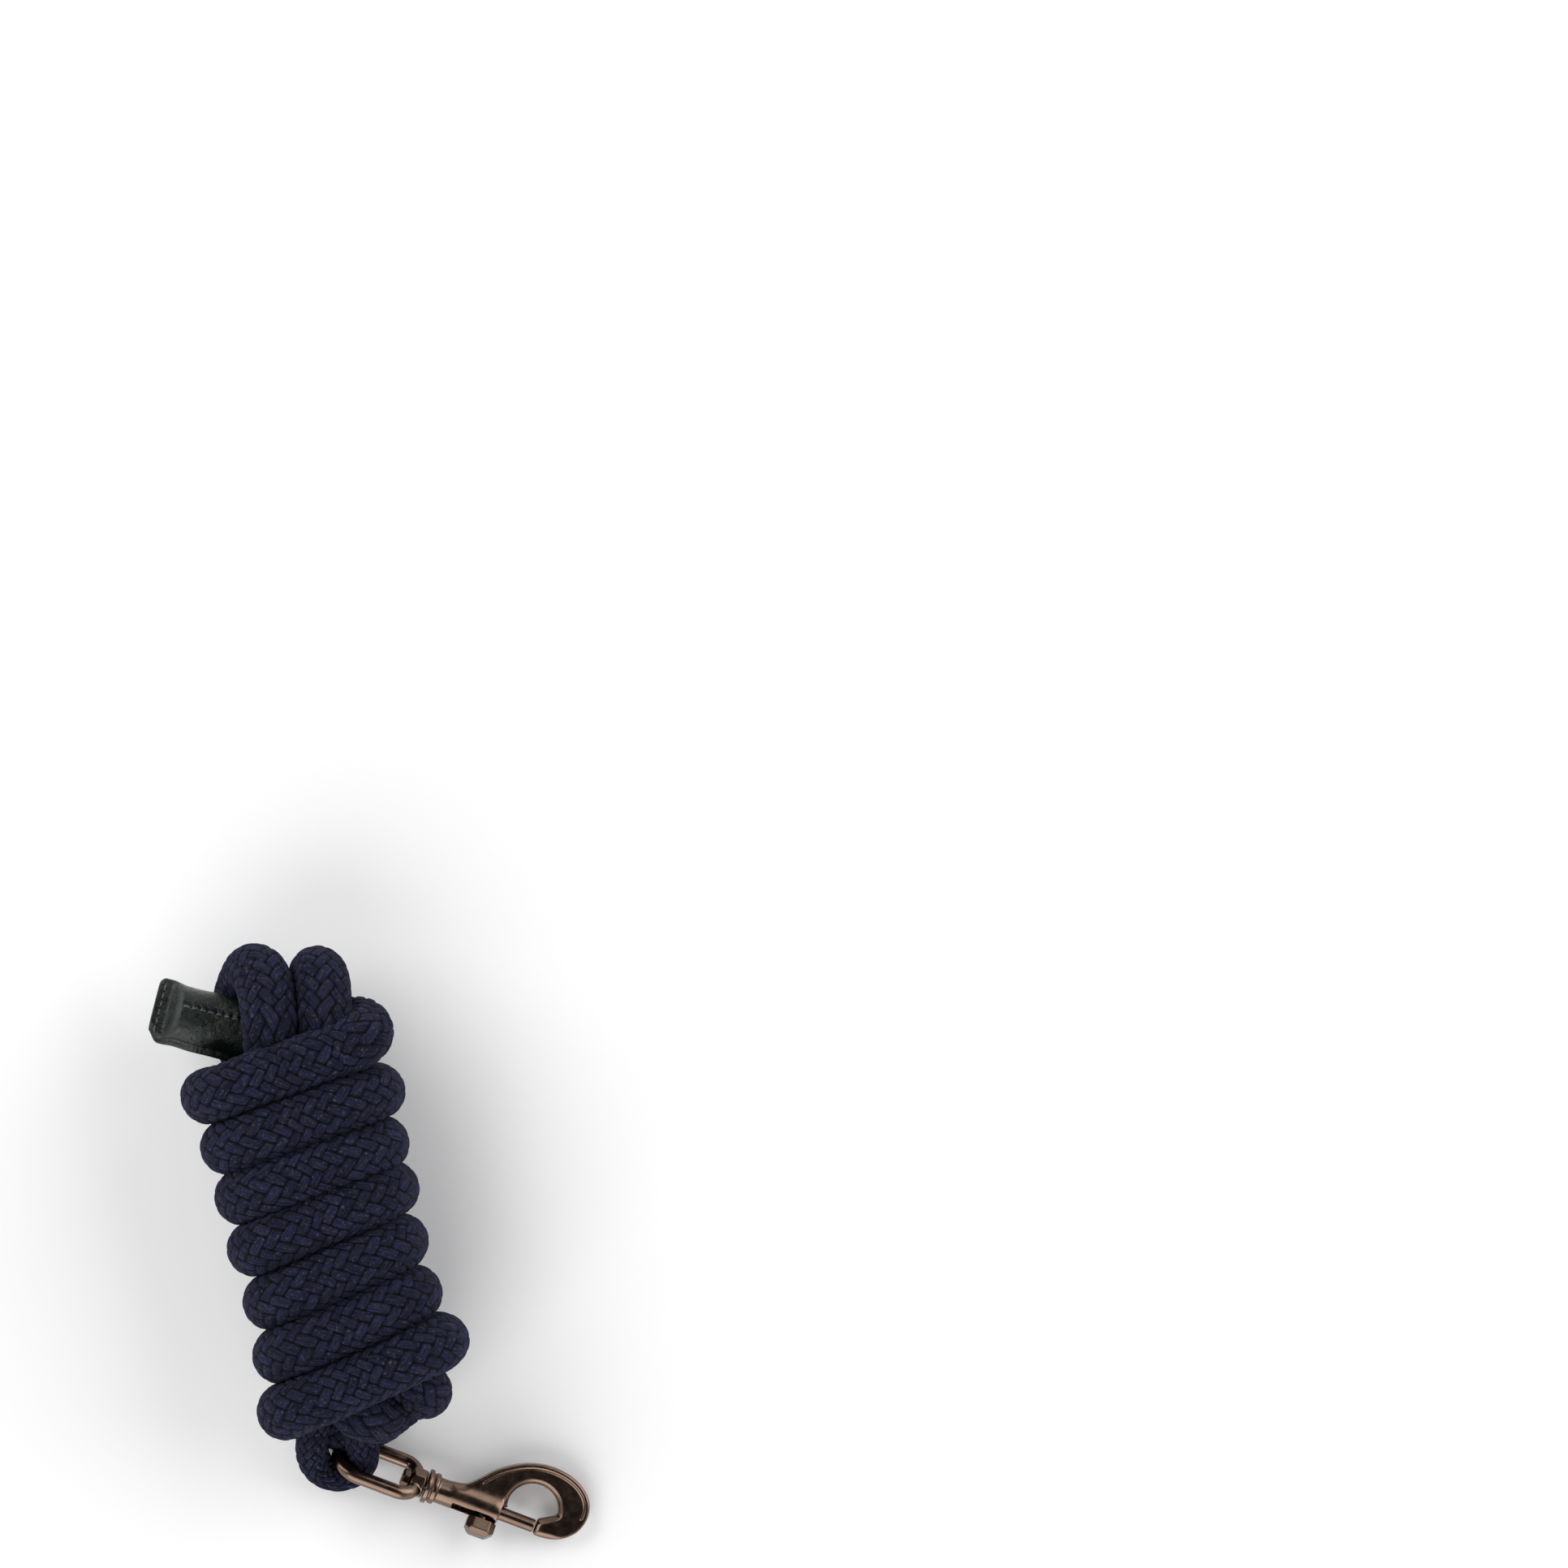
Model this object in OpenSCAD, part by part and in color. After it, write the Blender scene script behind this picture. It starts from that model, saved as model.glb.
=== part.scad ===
// Lead rope wound into a hank and laid on its back, with a leather tail sleeve and a swivel bolt snap.
// Millimetres, +Z up, the hank's long side along Y, and the resting surface at Z = 0.

/* [Rope] */
// Diameter of the braided rope
rope_d = 18; // [14:1:20]
// Diameter of the rope where it is drawn tight through the snap's eye
eye_rope_d = 11.6; // [10:0.2:12]
// Depth of the hank from its back to its front
hank_depth = 72; // [68:1:76]

/* [Leather sleeve] */
// Outer diameter of the sleeve round the rope's tail
sleeve_d = 20.6; // [20.4:0.2:22]
// Length of the sleeve with its flattened end
sleeve_l = 42; // [40:1:46]

/* [Snap] */
// Outer diameter of the snap's barrel
barrel_d = 9.4; // [9:0.2:11]
// Length of the barrel from its flange to its mouth
barrel_l = 28.6; // [28:0.2:30]
// Diameter of the flange at the swivel end
flange_d = 12.7; // [11:0.1:14]
// Thickness of the flat hook
hook_t = 6.4; // [5:0.2:7]
// Diameter of the spring bolt
bolt_d = 5; // [4.6:0.1:5.4]
// Diameter of the wire of the swivel eye
eye_wire_d = 4.7; // [4:0.1:4.8]
// How far the bolt draws back
bolt_travel = 10.4; // [6:0.2:10.4]

/* [Hidden] */

$fn = 64;
eps = 0.01;
rope_r = rope_d / 2;
mid_z = hank_depth / 2;

// Colours
navy = [0.07, 0.08, 0.20];
leather_green = [0.07, 0.10, 0.09];
thread_black = [0.03, 0.03, 0.03];
bronze = [0.36, 0.22, 0.16];
steel = [0.55, 0.55, 0.56];

// The wraps: where each one turns at the left and at the right of the hank, top wrap first
left_turns = [[-56.6, 53.5], [-49.5, 35.5], [-44.5, 17.5], [-40, -1], [-34.5, -20], [-31, -39], [-29.5, -59.3]];
right_turns = [[0, 73.8], [3, 55], [4.5, 36], [8, 20], [11.5, 1], [16.5, -17.5], [26, -34.5]];
// The first turn of the winding, which shows under the last wrap, and the core bight in front of it
first_turn = [20, -52.5];
core_bight = [6.5, -59.5];
// Centre of the hank and the lean of its long axis
hank_centre = [-14.5, 8.4];
hank_lean = 13.5;
hank_half_w = 39;
wrap_bend_r = 27;

// The bights at the top, which hold the tail: centre, ring radius and turn about Y
left_bight_at = [-40.5, 77];
right_bight_at = [-17.5, 78];
left_bight_r = 20.8;
right_bight_r = 19;
left_bight_turn = 18;
right_bight_turn = 6;
bight_leg_l = 22;

// Route of the tail from the last wrap through both bights, along the middle of the rope
tail_route = [
    [-3, 73.5, 60], [0, 76.5, 52], [-3, 79, 43], [-10, 79.5, 37.5], [-20, 78, 36], [-30, 76, 36],
    [-36, 75.2, 36], [-50, 78.8, 36], [-67, 83.1, 36]
];
sleeve_at = [-36, 75.2, 36];
sleeve_turn = 165.7;
sleeve_wall = 1.2;
lip_h = 2.6;
lip_t = 3;

// Route of the eye that holds the snap, from one leg in the hank round to the other
eye_route = [
    [-6.8, -45, 35.2], [-6.8, -50.5, 32.2], [-6.8, -56, 29.2], [-5.4, -62.5, 25.2], [-3.4, -69.5, 20],
    [-2.6, -76, 14], [-4.4, -81, 9.2], [-9, -83.6, 7.6], [-14, -83.9, 8], [-18.6, -81.2, 10.5],
    [-20.8, -76, 15], [-20.4, -69.5, 20.6], [-19.4, -62.5, 25.4], [-18.6, -56, 29.2], [-18.6, -50.5, 32.2],
    [-18.6, -45, 35.2]
];
leg_rise = 28.6;
seizing_at = [-12.7, -51, 31.9];
seizing_l = 8;
seizing_wall = 1.2;

// The snap: its own frame runs from the flange along the barrel, with the hook rising to the left of it
snap_at = [19.6, -87.7, 9];
snap_turn = -21;
snap_nose_down = 5;
knob_roll = -20;
eye_roll = -55;

// Swivel
flange_l = 4.4;
flange_groove_r = 5.4;
rivet_r = 2;
rivet_head_r = 3.2;
rivet_gap = 0.05;
swivel_gap = 0.3;
eye_base_r = 4.1;
eye_base_l = 5.2;
eye_centre_u = -24.1;
eye_half_w = 9.15;
eye_shoulder_u = -9.6;
eye_shoulder_r = 6;

// Barrel bore, slot and bolt
rivet_seat_l = 5;
bore_r = bolt_d / 2 + 0.05;
slot_w = 3.4;
stalk_r = 1.6;
stalk_u = 23.6;
slot_start = stalk_u - stalk_r - bolt_travel - 0.2;
slot_end = stalk_u + stalk_r + 0.1;
bolt_rear = 19.4;
bolt_tip = 42;
knob_l = 10.8;
knob_w = 8;
knob_low = 5.2;
knob_high = 10.3;

// Hook: bowl, tip and outline points in the snap's own frame
bowl_at = [39.3, 5.4];
bowl_r = 9.4;
tip_u = 42.3;
beak_root = [49.2, 7.1];
hook_outline = [
    [10, 3.6], [13.5, 5.2], [17, 8.6], [22.5, 14.6], [29, 19.1], [35.6, 21.7], [42.6, 22.4], [49.6, 21.2],
    [55, 18.2], [58.2, 14], [59, 9], [57.6, 4], [54.2, 0.2], [49.8, -2.2], [45, -3]
];

// Spring
spring_wire_d = 0.5;
spring_turns = 6.5;
spring_mean_r = 2.1;

// Points of a Catmull-Rom curve through a list, with n steps to a span
function spline_point(a, b, c, d, t) =
    0.5 * (2 * b + (c - a) * t + (2 * a - 5 * b + 4 * c - d) * t * t + (3 * b - a - 3 * c + d) * t * t * t);
function spline(p, n) = [
    for (i = [0 : len(p) - 2], k = [0 : n - 1])
        spline_point(p[max(i - 1, 0)], p[i], p[i + 1], p[min(i + 2, len(p) - 1)], k / n),
    p[len(p) - 1]
];

function unit(v) = v / norm(v);
function along(p, i) = unit(p[min(i + 1, len(p) - 1)] - p[max(i - 1, 0)]);
// A direction square to the path, carried from ring to ring so that the tube doesn't twist
function square_to(t, v) = unit(v - t * (t * v));
function sides(p, i = 0, last = [0.13, 0.27, 1]) =
    i >= len(p) ? [] : let (s = square_to(along(p, i), last)) concat([s], sides(p, i + 1, s));

// A closed round tube along a path
module tube(path, r, facets) {
    n = len(path);
    side = sides(path);
    points = [
        for (i = [0 : n - 1], k = [0 : facets - 1])
            let (a = 360 * k / facets, s = side[i], q = cross(along(path, i), s))
                path[i] + r * (cos(a) * s + sin(a) * q)
    ];
    walls = [
        for (i = [0 : n - 2], k = [0 : facets - 1])
            let (m = (k + 1) % facets)
                [i * facets + m, i * facets + k, (i + 1) * facets + k, (i + 1) * facets + m]
    ];
    start_cap = [[for (k = [0 : facets - 1]) k]];
    end_cap = [[for (k = [facets - 1 : -1 : 0]) (n - 1) * facets + k]];
    polyhedron(points, concat(walls, start_cap, end_cap), convexity = 6);
}

// Points of an arc round a centre
function arc(centre, r, from, to, n) = [
    for (i = [0 : n]) let (a = from + (to - from) * i / n) centre + r * [cos(a), sin(a)]
];
// Outline of a flat band with round ends, from a to b
function band_points(a, b, r) =
    let (turn = atan2(b.y - a.y, b.x - a.x))
        concat(arc(b, r, turn - 90, turn + 90, 16), arc(a, r, turn + 90, turn + 270, 16));

// The hank seen from the front: round lobes where the wraps turn, with a notch between each two
module hank_outline() {
    last = len(left_turns) - 1;
    lobe = 66;
    polygon([
        each arc(right_turns[0], rope_r, 108, -lobe, 8),
        for (i = [1 : last]) each arc(right_turns[i], rope_r, lobe, -lobe, 6),
        each arc(first_turn, rope_r, 50, -60, 6),
        each arc(core_bight, rope_r, -20, -90, 4),
        each arc(left_turns[last], rope_r, 270, 180 - lobe, 8),
        for (i = [last - 1 : -1 : 1]) each arc(left_turns[i], rope_r, 180 + lobe, 180 - lobe, 6),
        each arc(left_turns[0], rope_r, 180 + lobe, 108, 7)
    ]);
}

module hank_section() {
    w = hank_half_w - wrap_bend_r;
    h = mid_z - wrap_bend_r;
    r = wrap_bend_r;
    polygon(concat(
        arc([w, h], r, 0, 90, 12), arc([-w, h], r, 90, 180, 12),
        arc([-w, -h], r, 180, 270, 12), arc([w, -h], r, 270, 360, 12)
    ));
}

// A block along the two legs of the eye, with round sides
module along_legs(r, length) {
    half = [eye_rope_d / 2 + 0.1, 0];
    translate(seizing_at) rotate([90 + leg_rise, 0, 0]) linear_extrude(length, center = true)
        polygon(band_points(-half, half, r));
}

// The groove between the front and back of the hank that the tail and its sleeve lie in
module tail_groove() {
    r = sleeve_d / 2 + 0.3;
    overlap = 4;
    for (turn = [sleeve_turn, 10]) translate(sleeve_at) rotate([0, 0, turn]) rotate([0, 90, 0])
        translate([0, 0, -overlap]) cylinder(60 + overlap, r, r);
    in_sleeve() translate([-overlap, 0, -lip_t / 2 - 0.3]) cube([sleeve_l, r + lip_h + 0.3, lip_t + 2]);
}

module rope_hank() {
    color(navy) difference() {
        intersection() {
            linear_extrude(hank_depth) hank_outline();
            translate([hank_centre.x, hank_centre.y, mid_z]) rotate([0, 0, hank_lean]) rotate([90, 0, 0])
                linear_extrude(200, center = true) hank_section();
        }
        tail_groove();
        along_legs(eye_rope_d / 2 + seizing_wall, seizing_l);
    }
}

// A bight stands edge-on: half a ring above the tail, and two legs that go down into the hank
module bight(at, ring_r, turn) {
    translate([at.x, at.y, mid_z]) rotate([0, turn, 0]) {
        rotate([0, 90, 0]) rotate_extrude(angle = 180) translate([ring_r, 0]) circle(rope_r);
        for (z = [-ring_r, ring_r]) translate([0, eps, z]) rotate([90, 0, 0]) cylinder(bight_leg_l, rope_r, rope_r);
    }
}

module rope_left_bight() {
    color(navy) bight(left_bight_at, left_bight_r, left_bight_turn);
}

module rope_right_bight() {
    color(navy) bight(right_bight_at, right_bight_r, right_bight_turn);
}

module rope_eye() {
    color(navy) tube(spline(eye_route, 2), eye_rope_d / 2, 12);
}

module rope_tail() {
    color(navy) tube(spline(tail_route, 2), rope_r, 12);
}

module throat_seizing() {
    color(thread_black) difference() {
        along_legs(eye_rope_d / 2 + seizing_wall, seizing_l);
        along_legs(eye_rope_d / 2 + 0.05, seizing_l + 1);
    }
}

// Leather sleeve: its own frame runs from the mouth to the flattened end, with +Y to the sewn lip's far side
module in_sleeve() {
    translate(sleeve_at) rotate([0, 0, sleeve_turn]) children();
}

module leather_sleeve() {
    barrel_end = sleeve_l - 9;
    color(leather_green) in_sleeve() difference() {
        union() {
            rotate([0, 90, 0]) cylinder(barrel_end, d = sleeve_d);
            translate([0, sleeve_d / 2 - 1, -lip_t / 2]) cube([barrel_end, lip_h + 1, lip_t]);
            hull() {
                translate([barrel_end - eps, 0, 0]) rotate([0, 90, 0]) cylinder(eps, d = sleeve_d, $fn = 32);
                translate([barrel_end - eps, 0, 0]) cube([eps, 2 * (sleeve_d / 2 + lip_h - 1), lip_t], center = true);
                translate([sleeve_l - 7, -sleeve_d / 2, -3.4]) cube([2, sleeve_d, 6.8]);
            }
            translate([sleeve_l - 6, -sleeve_d / 2, -1.8]) cube([6, sleeve_d, 3.6]);
        }
        rotate([0, 90, 0]) translate([0, 0, -eps]) cylinder(barrel_end - 1, r = sleeve_d / 2 - sleeve_wall);
    }
}

module stitch(length) {
    cube([length, 0.8, 0.9], center = true);
}

module sleeve_stitching() {
    pitch = 3;
    seam_turn = 18;
    color(thread_black) in_sleeve() {
        for (x = [3 : pitch : sleeve_l - 12])
            rotate([seam_turn, 0, 0]) translate([x, 0, sleeve_d / 2]) stitch(1.9);
        for (x = [3 : pitch : sleeve_l - 12])
            translate([x, sleeve_d / 2 + 1.2, 1.5]) stitch(1.9);
        for (y = [-7.5 : pitch : 7.5])
            translate([sleeve_l - 3, y, 1.8]) rotate([0, 0, 90]) stitch(1.9);
    }
}

module in_snap() {
    translate(snap_at) rotate([0, 0, snap_turn]) rotate([0, snap_nose_down, 0]) children();
}

// A cylinder along the barrel's axis, from one station to another
module shaft(from, to, r) {
    translate([from, 0, 0]) rotate([0, 90, 0]) cylinder(to - from, r, r);
}

module flange_outline() {
    r = flange_d / 2;
    step = flange_l / 5;
    polygon([
        [0, 0], [r - 0.5, 0], [r, 0.5], [r, 2 * step - 0.3], [flange_groove_r, 2 * step],
        [flange_groove_r, 3 * step], [r - 0.6, 3 * step + 0.3], [r - 0.6, flange_l - 0.4],
        [r - 1, flange_l], [0, flange_l]
    ]);
}

// The flat hook: its outline, less the bowl, which the beak closes off below
module hook_plate() {
    curve = spline(hook_outline, 4);
    linear_extrude(hook_t, center = true) difference() {
        polygon(concat(curve, [[tip_u, -3], [tip_u, 3], [barrel_l, 3], [barrel_l, 0], [10, 0]]));
        intersection() {
            translate(bowl_at) circle(bowl_r, $fn = 96);
            polygon([[barrel_l - 4, 3], [tip_u, 3], beak_root, [beak_root.x, 20], [barrel_l - 4, 20]]);
        }
    }
}

module snap_body() {
    color(bronze) in_snap() difference() {
        union() {
            shaft(flange_l - eps, barrel_l, barrel_d / 2);
            rotate([0, 90, 0]) rotate_extrude() flange_outline();
            hook_plate();
        }
        shaft(-eps, rivet_seat_l + eps, rivet_r);
        shaft(rivet_seat_l, barrel_l + 8, bore_r);
        rotate([knob_roll, 0, 0]) translate([slot_start, -barrel_d, -slot_w / 2])
            cube([slot_end - slot_start, barrel_d, slot_w]);
        shaft(barrel_l, tip_u - eps, bolt_d / 2 + 0.4);
    }
}

// Half of the eye's wire: a bar, its shoulder and the turn into the base
module eye_side() {
    wire_r = eye_wire_d / 2;
    translate([eye_centre_u - eps, eye_half_w, 0]) rotate([0, 90, 0])
        cylinder(eye_shoulder_u - eye_centre_u + 2 * eps, wire_r, wire_r);
    translate([eye_shoulder_u, eye_half_w - eye_shoulder_r, 0]) rotate_extrude(angle = 90)
        translate([eye_shoulder_r, 0]) circle(wire_r);
}

module swivel_eye() {
    base_from = -swivel_gap - eye_base_l;
    color(bronze) in_snap() rotate([eye_roll, 0, 0]) difference() {
        union() {
            translate([eye_centre_u, 0, 0]) rotate([0, 0, 90]) rotate_extrude(angle = 180)
                translate([eye_half_w, 0]) circle(eye_wire_d / 2);
            eye_side();
            mirror([0, 1, 0]) eye_side();
            shaft(base_from, -swivel_gap, eye_base_r);
        }
        shaft(base_from - 6, 0, rivet_r + rivet_gap);
        shaft(base_from - 6, base_from, rivet_head_r + 0.3);
    }
}

module swivel_rivet() {
    head_from = -swivel_gap - eye_base_l - swivel_gap;
    color(bronze) in_snap() {
        shaft(head_from - eps, rivet_seat_l, rivet_r);
        rotate([0, -90, 0]) translate([0, 0, -head_from]) rotate_extrude()
            polygon([[0, 0], [rivet_head_r, 0], [rivet_head_r, 2.4], [rivet_head_r - 0.9, 3.3], [0, 3.3]]);
    }
}

module bolt_rod() {
    tip_chamfer = 0.5;
    r = bolt_d / 2;
    color(bronze) in_snap() difference() {
        translate([bolt_rear, 0, 0]) rotate([0, 90, 0]) rotate_extrude()
            polygon([
                [0, 0], [r, 0], [r, bolt_tip - bolt_rear - tip_chamfer],
                [r - tip_chamfer, bolt_tip - bolt_rear], [0, bolt_tip - bolt_rear]
            ]);
        rotate([90 + knob_roll, 0, 0]) translate([stalk_u, 0, -1.5]) cylinder(8, stalk_r, stalk_r);
    }
}

// The knob and its stalk are one stud, seated in the bolt through the barrel's slot
module thumb_knob() {
    half = knob_l / 2;
    color(bronze) in_snap() rotate([90 + knob_roll, 0, 0]) translate([stalk_u, 0, 0]) {
        translate([0, 0, -1.5]) cylinder(knob_low + 1.5 + eps, stalk_r, stalk_r);
        rotate([90, 0, 0]) linear_extrude(knob_w, center = true)
            polygon([
                [-half, knob_low], [half, knob_low], [half, knob_low + 3], [half - 2.4, knob_high],
                [2.4 - half, knob_high], [-half, knob_low + 3]
            ]);
    }
}

module bolt_spring() {
    from = rivet_seat_l + 0.3;
    to = bolt_rear - 0.3;
    steps = 12 * spring_turns;
    path = [
        for (i = [0 : steps])
            let (a = 30 * i, x = from + (to - from) * i / steps)
                [x, spring_mean_r * cos(a), spring_mean_r * sin(a)]
    ];
    color(steel) in_snap() tube(path, spring_wire_d / 2, 6);
}

rope_hank();
rope_left_bight();
rope_right_bight();
rope_eye();
rope_tail();
throat_seizing();
leather_sleeve();
sleeve_stitching();
snap_body();
swivel_eye();
swivel_rivet();
bolt_rod();
thumb_knob();
bolt_spring();
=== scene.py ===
"""A lead rope wound into a hank: braided rope, leather tail sleeve and swivel bolt snap, in metres, +Z up."""
import math

import bmesh
import bpy
import numpy as np
from mathutils import Matrix, Vector


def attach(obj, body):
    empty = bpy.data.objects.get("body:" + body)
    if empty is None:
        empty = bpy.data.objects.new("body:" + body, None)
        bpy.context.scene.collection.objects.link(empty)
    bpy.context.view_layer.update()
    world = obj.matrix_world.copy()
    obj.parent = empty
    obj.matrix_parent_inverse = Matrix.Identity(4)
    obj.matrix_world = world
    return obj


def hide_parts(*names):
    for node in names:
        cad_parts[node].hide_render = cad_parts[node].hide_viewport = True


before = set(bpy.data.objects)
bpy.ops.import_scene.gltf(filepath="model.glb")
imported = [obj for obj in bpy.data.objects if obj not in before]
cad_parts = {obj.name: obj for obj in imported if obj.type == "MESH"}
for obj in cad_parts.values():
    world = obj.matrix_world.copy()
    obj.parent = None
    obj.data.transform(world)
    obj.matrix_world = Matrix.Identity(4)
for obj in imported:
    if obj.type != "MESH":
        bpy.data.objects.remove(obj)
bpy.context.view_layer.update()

MM = 0.001
PIXELS_PER_MM = 3.44
IMAGE_SIDE = 1932
# Where the middle of the picture lies on the resting surface, and how far off the camera is
PICTURE_CENTRE = Vector((0.149, 0.1651, 0.036))
CAMERA_DISTANCE = 4.0
SENSOR_MM = 36

# The rope's nominal diameter, then the radii that it is drawn with where it is loose, tight or squeezed
WRAP_R = 9.85
BIGHT_R = 10.1
CORE_R = 8
EYE_R = 5.8
EYE_END_R = 6.1
TAIL_R = 8.8
ROUTE_STEP = 0.55
STEPS_BETWEEN_STATIONS = 24

SLEEVE_AT = (-36, 75.2, 36)
SLEEVE_TURN = 165.7
SLEEVE_R = 10.3
SLEEVE_L = 42
SLEEVE_AROUND = 200
LIP_H = 2.6
SEAM_TURN = math.radians(18)
STITCH_PITCH = 3
TAB_ROW = 39.6
SEIZING_AT = (-12.7, -51, 31.9)
# Heights of the hank's middle and of the rope's centreline on its front and back, and the corners' radius
MID_Z = 36
FRONT_Z = 63
BACK_Z = 10.57
BEND_R = 18
FIRST_RUN_SAG = 10


# ---------------------------------------------------------------- the rope's route, in millimetres

LEFT_TURNS = [
    (-56.6, 53.5), (-49.5, 35.5), (-44.5, 17.5), (-40, -1), (-34.5, -20), (-31, -39), (-29.5, -59.3),
]
RIGHT_TURNS = [(0, 73.8), (3, 55), (4.5, 36), (8, 20), (11.5, 1), (16.5, -17.5), (26, -34.5)]
FIRST_TURN = (20, -52.5)

# The short end in the seizing, the eye round the snap, and the leg that goes up into the core
EYE_ROUTE = [
    (-18.6, -45, 35.2), (-18.6, -50.5, 32.2), (-18.6, -56, 29.2), (-19.4, -62.5, 25.4), (-20.4, -69.5, 20.6),
    (-20.8, -76, 15), (-18.6, -81.2, 10.5), (-14, -83.9, 8), (-9, -83.6, 7.6), (-4.4, -81, 9.2),
    (-2.6, -76, 14), (-3.4, -69.5, 20), (-5.4, -62.5, 25.2), (-6.8, -56, 29.2), (-6.8, -50.5, 32.2),
    (-6.8, -45, 35.2),
]
# The core: up the back left, over the left bight, down the front left, round the bottom bight,
# up the back right, over the right bight and down the front right to the first turn
CORE_BACK_LEFT = [
    (-8.4, -38, 34.8), (-11, -28, 31.8), (-17, -10, 29), (-25, 20, 29), (-34, 45, 29), (-43, 62, 23),
]
CORE_FRONT_LEFT = [
    (-35.5, 66, 48), (-32, 50, 44), (-25, 20, 43), (-18, -10, 43), (-14, -35, 43), (-10, -49, 46),
]
BOTTOM_BIGHT = [(-4, -57.5, 49), (3, -60.5, 45), (5.5, -58, 37), (5, -49, 30)]
CORE_BACK_RIGHT = [(1, -30, 28), (-5, -10, 29), (-11, 20, 29), (-16, 45, 28), (-18.5, 62, 23)]
CORE_FRONT_RIGHT = [(-15.5, 66, 50), (-14, 50, 44), (-9, 20, 43), (-3, -10, 43), (2, -27, 44), (9, -39, 46)]
FIRST_TURN_IN = [(15.5, -46.5, 46), (19.2, -51, 42)]
LEFT_BIGHT = dict(at=(-40.5, 77), r=20.8, turn=18)
RIGHT_BIGHT = dict(at=(-17.9, 78), r=19, turn=9)
TAIL_ROUTE = [
    (-3, 73.5, 60), (0, 76.5, 52), (-3, 79, 43), (-10, 79.5, 37.5), (-20, 78, 36), (-30, 76, 36),
    (-36, 75.2, 36), (-50, 78.8, 36), (-67, 83.1, 36),
]


def bight_points(at, r, turn, steps=8):
    """Half a ring that stands edge-on, from its back leg over the top to its front leg."""
    turn = math.radians(turn)
    points = []
    for i in range(steps + 1):
        a = math.pi * i / steps
        depth = -r * math.cos(a)
        x = at[0] + depth * math.sin(turn)
        points.append((x, at[1] + r * math.sin(a), MID_Z + depth * math.cos(turn)))
    return points


def half_wrap(start, end, z, sag=0):
    """From one turn across the front or the back of the hank to the next, with round corners."""
    (xs, ys), (xe, ye) = start, end
    side = math.copysign(1, xe - xs)
    lift = math.copysign(1, z - MID_Z)
    steps = 5
    flat_z = MID_Z + lift * (abs(z - MID_Z) - BEND_R)
    xz = [(xs, MID_Z)]
    for i in range(steps + 1):
        a = math.radians(90 * i / steps)
        xz.append((xs + side * BEND_R * (1 - math.cos(a)), flat_z + lift * BEND_R * math.sin(a)))
    xz.append(((xs + xe) / 2, z))
    for i in range(steps + 1):
        a = math.radians(90 * i / steps)
        xz.append((xe - side * BEND_R * (1 - math.sin(a)), flat_z + lift * BEND_R * math.cos(a)))
    run = [(x, h, (x - xs) / (xe - xs)) for x, h in xz]
    return [(x, ys + (ye - ys) * t - sag * math.sin(math.pi * t) ** 2, h) for x, h, t in run]


def rope_stations():
    """Points along the whole rope with the radius of the rope at each."""
    eye = [(p, EYE_R if 2 < i < 13 else EYE_END_R) for i, p in enumerate(EYE_ROUTE)]
    core = (
        [(p, CORE_R) for p in CORE_BACK_LEFT]
        + [(p, BIGHT_R) for p in bight_points(**LEFT_BIGHT)]
        + [(p, CORE_R) for p in CORE_FRONT_LEFT]
        + [(p, WRAP_R) for p in BOTTOM_BIGHT]
        + [(p, CORE_R) for p in CORE_BACK_RIGHT]
        + [(p, BIGHT_R - 0.1) for p in bight_points(**RIGHT_BIGHT)]
        + [(p, CORE_R) for p in CORE_FRONT_RIGHT]
        + [(p, WRAP_R) for p in FIRST_TURN_IN]
    )
    wraps = []
    from_turn = FIRST_TURN
    for left, right in zip(reversed(LEFT_TURNS), reversed(RIGHT_TURNS)):
        wraps += half_wrap(from_turn, left, BACK_Z, FIRST_RUN_SAG if left == LEFT_TURNS[-1] else 0)
        front = half_wrap(left, right, FRONT_Z)
        # The last front wrap stops short, where the tail leaves it
        wraps += front[1:-1] if right != RIGHT_TURNS[0] else front[1:-4]
        from_turn = right
    wraps = [(p, WRAP_R) for p in wraps]
    tail = [(p, WRAP_R if i < 3 else TAIL_R) for i, p in enumerate(TAIL_ROUTE)]
    return eye + core + wraps + tail


def smooth_route(stations, step):
    """A Catmull-Rom curve through the stations at even steps, as points, radii and lengths along it."""
    points = np.array([p for p, _ in stations], float)
    radii = np.array([r for _, r in stations], float)
    data = np.column_stack([points, radii])
    knots = np.concatenate([[0], np.cumsum(np.linalg.norm(np.diff(points, axis=0), axis=1) ** 0.5)])
    fine = []
    last = len(data) - 1
    for i in range(last):
        t0, t1, t2, t3 = knots[max(i - 1, 0)], knots[i], knots[i + 1], knots[min(i + 2, last)]
        p0, p1, p2, p3 = data[max(i - 1, 0)], data[i], data[i + 1], data[min(i + 2, last)]
        m1 = (p2 - p0) / (t2 - t0) if i else (p2 - p1) / (t2 - t1)
        m2 = (p3 - p1) / (t3 - t1) if i + 2 <= last else (p2 - p1) / (t2 - t1)
        for k in range(STEPS_BETWEEN_STATIONS):
            s = k / STEPS_BETWEEN_STATIONS
            h = t2 - t1
            fine.append(
                (2 * s**3 - 3 * s**2 + 1) * p1 + (s**3 - 2 * s**2 + s) * h * m1
                + (3 * s**2 - 2 * s**3) * p2 + (s**3 - s**2) * h * m2
            )
    fine.append(data[last])
    fine = np.array(fine)
    length = np.concatenate([[0], np.cumsum(np.linalg.norm(np.diff(fine[:, :3], axis=0), axis=1))])
    even = np.linspace(0, length[-1], round(length[-1] / step) + 1)
    out = np.column_stack([np.interp(even, length, fine[:, k]) for k in range(4)])
    return out[:, :3], out[:, 3], even


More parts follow.
